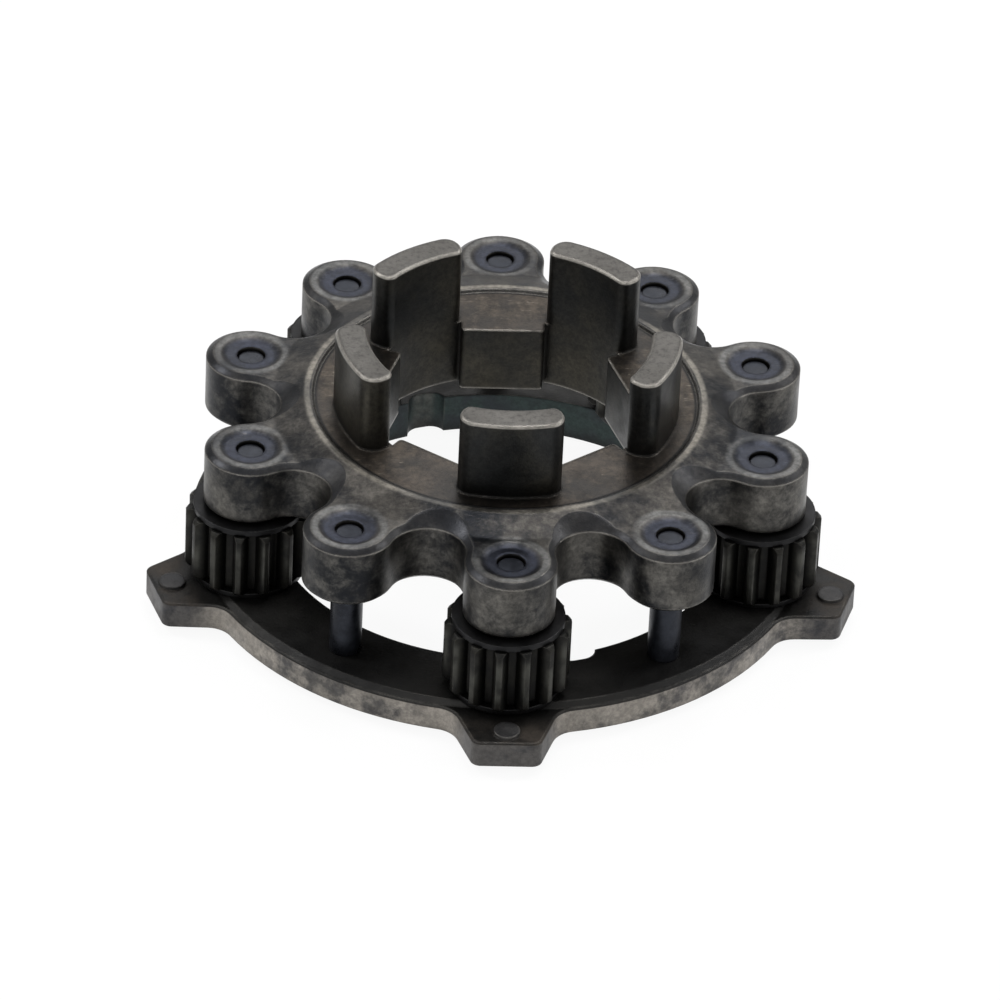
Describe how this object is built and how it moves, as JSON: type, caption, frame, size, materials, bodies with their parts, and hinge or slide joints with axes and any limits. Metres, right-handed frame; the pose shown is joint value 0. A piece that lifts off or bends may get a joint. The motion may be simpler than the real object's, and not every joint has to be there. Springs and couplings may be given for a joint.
{
  "type": "planetary gear set",
  "caption": "Planetary gear carrier: clawed lobed plate over a tabbed ring, tied by shouldered pins that carry spur pinions on needle rollers.",
  "frame": {"origin": "centre of the tabbed ring's bore, on the ring's lowest face", "axes": "+Z along the main axis from the ring towards the claws; -Y towards the pinion, claw and tab of station one"},
  "size_m": [0.1858, 0.1773, 0.0733],
  "materials": {
    "carrier_steel": "dark oxidised forging with rubbed edges",
    "ring_steel": "dark oxidised, rim turned and rubbed bright",
    "gear_steel": "oil-darkened, ground tooth flanks",
    "pin_steel": "ground, oil-darkened",
    "roller_steel": "ground",
    "washer_steel": "hardened, oil-darkened"
  },
  "bodies": {
    "carrier": {"carrier_plate": "carrier_steel", "tabbed_ring": "ring_steel", "pinion_pin_1": "pin_steel", "spacer_post_1": "pin_steel", "lower_thrust_washer_1": "washer_steel", "upper_thrust_washer_1": "washer_steel", "pinion_pin_2": "pin_steel", "spacer_post_2": "pin_steel", "lower_thrust_washer_2": "washer_steel", "upper_thrust_washer_2": "washer_steel", "pinion_pin_3": "pin_steel", "spacer_post_3": "pin_steel", "lower_thrust_washer_3": "washer_steel", "upper_thrust_washer_3": "washer_steel", "pinion_pin_4": "pin_steel", "spacer_post_4": "pin_steel", "lower_thrust_washer_4": "washer_steel", "upper_thrust_washer_4": "washer_steel", "pinion_pin_5": "pin_steel", "spacer_post_5": "pin_steel", "lower_thrust_washer_5": "washer_steel", "upper_thrust_washer_5": "washer_steel"},
    "pinion_1": {"pinion_1": "gear_steel"},
    "needles_1": {"needle_rollers_1": "roller_steel"},
    "pinion_2": {"pinion_2": "gear_steel"},
    "needles_2": {"needle_rollers_2": "roller_steel"},
    "pinion_3": {"pinion_3": "gear_steel"},
    "needles_3": {"needle_rollers_3": "roller_steel"},
    "pinion_4": {"pinion_4": "gear_steel"},
    "needles_4": {"needle_rollers_4": "roller_steel"},
    "pinion_5": {"pinion_5": "gear_steel"},
    "needles_5": {"needle_rollers_5": "roller_steel"}
  },
  "joints": [
    {"name": "pinion_1_spin", "type": "hinge", "parent": "carrier", "child": "pinion_1", "pos_m": [0, -0.07, 0.02165], "axis": [0, 0, 1], "continuous": true},
    {"name": "needles_1_orbit", "type": "hinge", "parent": "carrier", "child": "needles_1", "pos_m": [0, -0.07, 0.02165], "axis": [0, 0, 1], "continuous": true},
    {"name": "pinion_2_spin", "type": "hinge", "parent": "carrier", "child": "pinion_2", "pos_m": [0.06657, -0.02163, 0.02165], "axis": [0, 0, 1], "continuous": true},
    {"name": "needles_2_orbit", "type": "hinge", "parent": "carrier", "child": "needles_2", "pos_m": [0.06657, -0.02163, 0.02165], "axis": [0, 0, 1], "continuous": true},
    {"name": "pinion_3_spin", "type": "hinge", "parent": "carrier", "child": "pinion_3", "pos_m": [0.04115, 0.05663, 0.02165], "axis": [0, 0, 1], "continuous": true},
    {"name": "needles_3_orbit", "type": "hinge", "parent": "carrier", "child": "needles_3", "pos_m": [0.04115, 0.05663, 0.02165], "axis": [0, 0, 1], "continuous": true},
    {"name": "pinion_4_spin", "type": "hinge", "parent": "carrier", "child": "pinion_4", "pos_m": [-0.04115, 0.05663, 0.02165], "axis": [0, 0, 1], "continuous": true},
    {"name": "needles_4_orbit", "type": "hinge", "parent": "carrier", "child": "needles_4", "pos_m": [-0.04115, 0.05663, 0.02165], "axis": [0, 0, 1], "continuous": true},
    {"name": "pinion_5_spin", "type": "hinge", "parent": "carrier", "child": "pinion_5", "pos_m": [-0.06657, -0.02163, 0.02165], "axis": [0, 0, 1], "continuous": true},
    {"name": "needles_5_orbit", "type": "hinge", "parent": "carrier", "child": "needles_5", "pos_m": [-0.06657, -0.02163, 0.02165], "axis": [0, 0, 1], "continuous": true}
  ],
  "couplings": [
    {"joint": "needles_1_orbit", "follows": "pinion_1_spin", "ratio": 0.66265},
    {"joint": "needles_2_orbit", "follows": "pinion_2_spin", "ratio": 0.66265},
    {"joint": "needles_3_orbit", "follows": "pinion_3_spin", "ratio": 0.66265},
    {"joint": "needles_4_orbit", "follows": "pinion_4_spin", "ratio": 0.66265},
    {"joint": "needles_5_orbit", "follows": "pinion_5_spin", "ratio": 0.66265}
  ]
}
